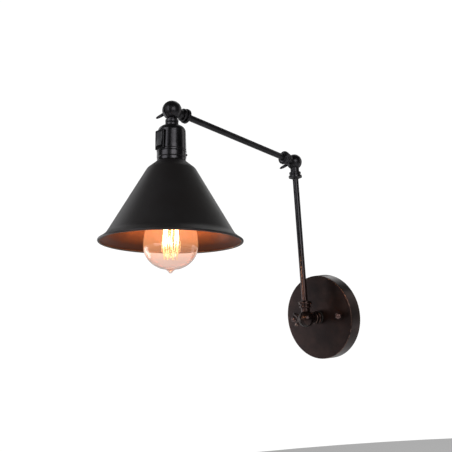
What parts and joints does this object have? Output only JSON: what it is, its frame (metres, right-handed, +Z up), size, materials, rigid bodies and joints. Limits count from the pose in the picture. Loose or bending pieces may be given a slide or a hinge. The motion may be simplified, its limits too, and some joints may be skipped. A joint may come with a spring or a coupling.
{
  "type": "swing arm wall sconce",
  "caption": "Wall sconce with a round canopy, two folding arms on wing-screw ball knuckles, a domed socket with a rocker switch, and a flared cone shade over a clear teardrop bulb.",
  "frame": {"origin": "centre of the mounting strap's back face, on the wall", "axes": "+Z up along the wall, -Y out of the wall into the room, +X along the wall; the arms fold in the plane x = 0"},
  "size_m": [0.1704, 0.3506, 0.3354],
  "materials": {
    "wall_plate": "dark oil-rubbed bronze, satin",
    "mounting_strap": "zinc plated",
    "plate_stud_left": "zinc plated",
    "plate_stud_right": "zinc plated",
    "plate_knob_left": "dark bronze, polished",
    "plate_knob_right": "dark bronze, polished",
    "ground_screw": "green lacquer",
    "stub_washer": "matt",
    "base_nipple": "zinc plated",
    "base_locknut": "zinc plated",
    "base_stub": "dark oil-rubbed bronze, satin",
    "base_nut": "zinc plated",
    "base_cap": "dark oil-rubbed bronze, satin",
    "base_arm_collar": "dark oil-rubbed bronze, satin",
    "base_friction_washer": "matt",
    "base_wing_screw": "dark bronze, polished",
    "lower_arm": "near-black graphite, semi-gloss",
    "elbow_lower_collar": "near-black graphite, semi-gloss",
    "elbow_nut": "zinc plated",
    "elbow_cap": "near-black graphite, semi-gloss",
    "elbow_upper_collar": "near-black graphite, semi-gloss",
    "elbow_friction_washer": "matt",
    "elbow_wing_screw": "near-black graphite, glossier",
    "upper_arm": "near-black graphite, semi-gloss",
    "lamp_arm_collar": "near-black graphite, semi-gloss",
    "lamp_nut": "zinc plated",
    "lamp_cap": "near-black graphite, semi-gloss",
    "lamp_neck": "near-black graphite, semi-gloss",
    "lamp_friction_washer": "matt",
    "lamp_wing_screw": "near-black graphite, glossier",
    "socket_cup": "near-black graphite, semi-gloss",
    "socket_nut": "zinc plated",
    "socket_sleeve": "near-black graphite, semi-gloss",
    "sleeve_set_screw": "near-black graphite, glossier",
    "switch_frame": "near-black graphite, semi-gloss",
    "switch_rocker": "gloss",
    "lamp_holder": "moulded, matt",
    "holder_shell": "plain",
    "holder_contact": "plain",
    "shade": "satin black outside",
    "shade_ring": "near-black graphite, semi-gloss",
    "bulb_glass": "clear, glossy",
    "bulb_cap": "nickel plated",
    "bulb_insulator": "moulded, matt",
    "bulb_contact": "nickel plated",
    "bulb_stem": "clear, glossy",
    "bulb_filament": "glowing",
    "bulb_lead_left": "zinc plated",
    "bulb_lead_right": "zinc plated"
  },
  "bodies": {
    "wall_mount": {"wall_plate": "wall_plate", "mounting_strap": "mounting_strap", "plate_stud_left": "plate_stud_left", "plate_stud_right": "plate_stud_right", "plate_knob_left": "plate_knob_left", "plate_knob_right": "plate_knob_right", "ground_screw": "ground_screw", "stub_washer": "stub_washer"},
    "stub": {"base_stub": "base_stub", "base_nipple": "base_nipple", "base_locknut": "base_locknut", "base_nut": "base_nut", "base_cap": "base_cap"},
    "lower_arm": {"base_arm_collar": "base_arm_collar", "base_friction_washer": "base_friction_washer", "lower_arm": "lower_arm", "elbow_lower_collar": "elbow_lower_collar", "elbow_nut": "elbow_nut", "elbow_cap": "elbow_cap"},
    "upper_arm": {"elbow_upper_collar": "elbow_upper_collar", "elbow_friction_washer": "elbow_friction_washer", "upper_arm": "upper_arm", "lamp_arm_collar": "lamp_arm_collar", "lamp_nut": "lamp_nut", "lamp_cap": "lamp_cap"},
    "lamp_head": {"lamp_neck": "lamp_neck", "lamp_friction_washer": "lamp_friction_washer", "socket_cup": "socket_cup", "socket_nut": "socket_nut", "socket_sleeve": "socket_sleeve", "sleeve_set_screw": "sleeve_set_screw", "switch_frame": "switch_frame", "lamp_holder": "lamp_holder", "holder_shell": "holder_shell", "holder_contact": "holder_contact", "shade": "shade", "shade_ring": "shade_ring", "bulb_glass": "bulb_glass", "bulb_cap": "bulb_cap", "bulb_insulator": "bulb_insulator", "bulb_contact": "bulb_contact", "bulb_stem": "bulb_stem", "bulb_filament": "bulb_filament", "bulb_lead_left": "bulb_lead_left", "bulb_lead_right": "bulb_lead_right"},
    "switch_rocker": {"switch_rocker": "switch_rocker"},
    "base_wing_screw": {"base_wing_screw": "base_wing_screw"},
    "elbow_wing_screw": {"elbow_wing_screw": "elbow_wing_screw"},
    "lamp_wing_screw": {"lamp_wing_screw": "lamp_wing_screw"}
  },
  "joints": [
    {"name": "base_swivel", "type": "hinge", "parent": "wall_mount", "child": "stub", "pos_m": [0, -0.0436, 0], "axis": [0, -1, 0], "range_deg": [-90, 90]},
    {"name": "base_pitch", "type": "hinge", "parent": "stub", "child": "lower_arm", "pos_m": [0, -0.0436, 0], "axis": [1, 0, 0], "range_deg": [-5, 95]},
    {"name": "elbow_pitch", "type": "hinge", "parent": "lower_arm", "child": "upper_arm", "pos_m": [0, -0.03274, 0.21432], "axis": [1, 0, 0], "range_deg": [-75, 34]},
    {"name": "shade_tilt", "type": "hinge", "parent": "upper_arm", "child": "lamp_head", "pos_m": [0, -0.24523, 0.26652], "axis": [1, 0, 0], "range_deg": [-85, 24]},
    {"name": "rocker_tilt", "type": "hinge", "parent": "lamp_head", "child": "switch_rocker", "pos_m": [0, -0.2642, 0.22879], "axis": [1, 0, 0], "range_deg": [0, 12]},
    {"name": "base_wing_turn", "type": "hinge", "parent": "stub", "child": "base_wing_screw", "pos_m": [0, -0.0436, 0], "axis": [1, 0, 0], "range_deg": [-180, 180]},
    {"name": "elbow_wing_turn", "type": "hinge", "parent": "lower_arm", "child": "elbow_wing_screw", "pos_m": [0, -0.03274, 0.21432], "axis": [1, 0, 0], "range_deg": [-180, 180]},
    {"name": "lamp_wing_turn", "type": "hinge", "parent": "upper_arm", "child": "lamp_wing_screw", "pos_m": [0, -0.24523, 0.26652], "axis": [1, 0, 0], "range_deg": [-180, 180]}
  ]
}
